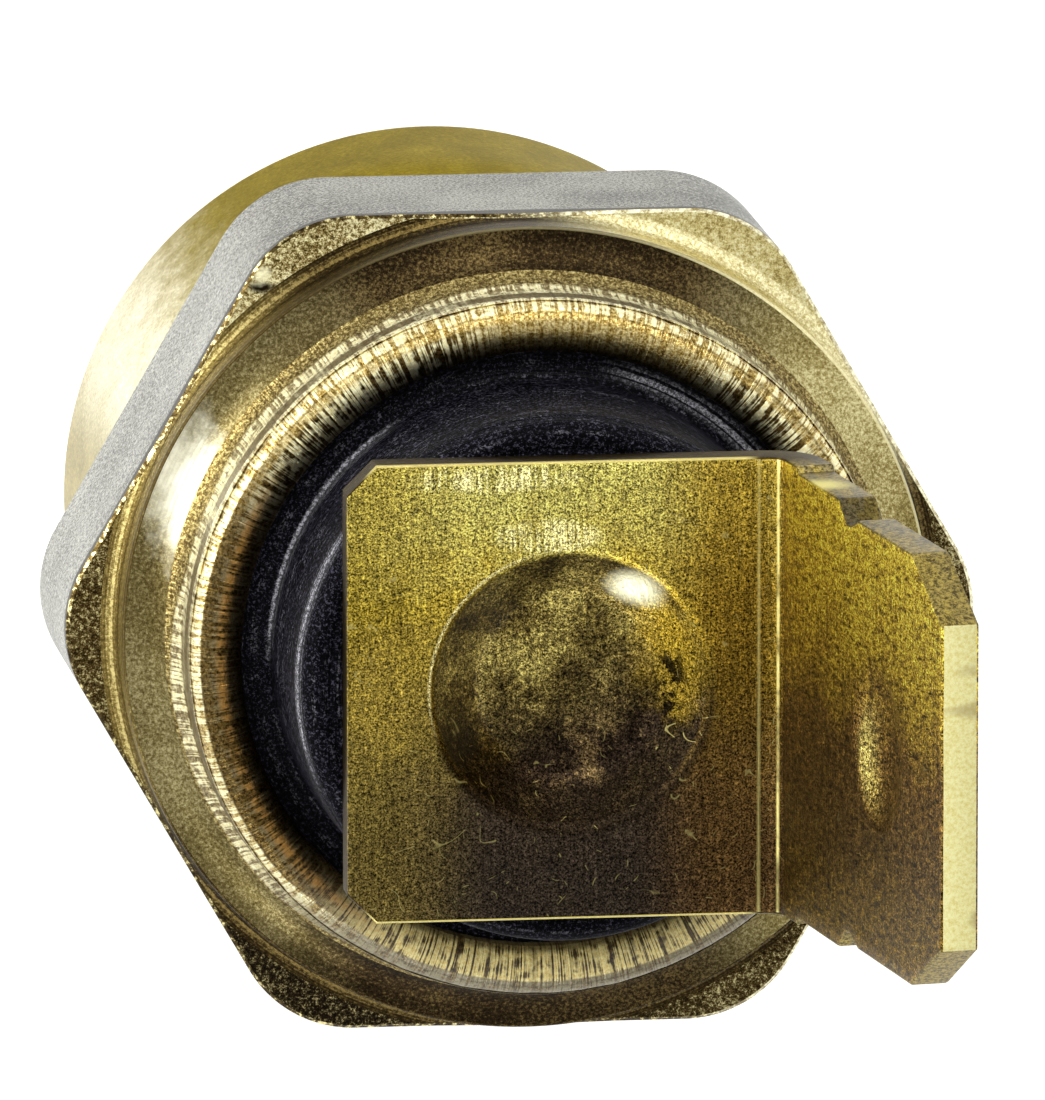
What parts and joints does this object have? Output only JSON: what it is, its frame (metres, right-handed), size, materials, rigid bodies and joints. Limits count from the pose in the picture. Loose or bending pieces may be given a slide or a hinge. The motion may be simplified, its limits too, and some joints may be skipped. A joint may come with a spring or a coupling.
{
  "type": "coolant temperature sender",
  "caption": "Turned brass coolant temperature sender: hexagon and plain barrel over a threaded end and a sensing bulb, with a blade terminal on a black insulator held by a rolled lip.",
  "frame": {"origin": "on the axis, in the plane of the barrel's lower shoulder, where the thread begins", "axes": "+Z along the axis towards the blade terminal, +X towards the side where the blade stands"},
  "size_m": [0.0194, 0.0174, 0.05],
  "materials": {
    "body_brass": "turned, a little tarnished",
    "insulator_black": "moulded, satin",
    "seal_rubber": "matt",
    "terminal_brass": "rolled sheet, brushed and stained",
    "contact_brass": "turned",
    "spring_steel": "drawn wire",
    "pellet_ceramic": "sintered, matt",
    "sleeve_fibre": "pressed fibre"
  },
  "bodies": {
    "root": {"body": "body_brass", "insulator": "insulator_black", "sealing_ring": "seal_rubber", "terminal": "terminal_brass", "contact_stud": "contact_brass", "spring_seat_washer": "contact_brass", "contact_spring": "spring_steel", "contact_cap": "contact_brass", "sensing_pellet": "pellet_ceramic", "insulating_sleeve": "sleeve_fibre"}
  },
  "joints": []
}
